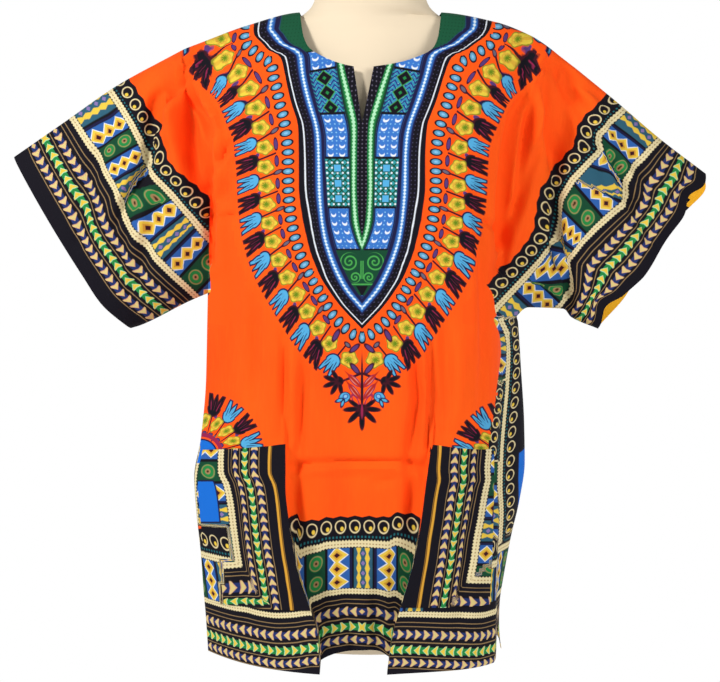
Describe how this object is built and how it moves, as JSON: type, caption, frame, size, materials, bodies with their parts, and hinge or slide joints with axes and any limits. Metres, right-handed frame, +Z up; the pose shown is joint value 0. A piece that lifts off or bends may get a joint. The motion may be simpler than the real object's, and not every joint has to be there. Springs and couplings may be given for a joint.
{
  "type": "dashiki shirt on a limbless dress form",
  "caption": "Loose pullover shirt with wide half sleeves, a notched round neck and patch pockets, resting on a neck-and-torso form.",
  "frame": {"origin": "on the flat underside of the dress form, under the shirt's centre line and the plane of its shoulders", "axes": "+Z up along the form, -Y out of the shirt's front, +X to the right for someone who looks at the front"},
  "size_m": [0.8882, 0.2749, 0.86],
  "materials": {
    "cloth_front": "printed plain-weave cotton, matt",
    "cloth_back": "printed plain-weave cotton, matt",
    "cloth_pocket": "printed plain-weave cotton, matt",
    "form_ivory": "satin"
  },
  "bodies": {
    "root": {"front": "cloth_front", "back": "cloth_back", "pocket_left": "cloth_pocket", "pocket_right": "cloth_pocket", "dress_form": "form_ivory"}
  },
  "joints": []
}
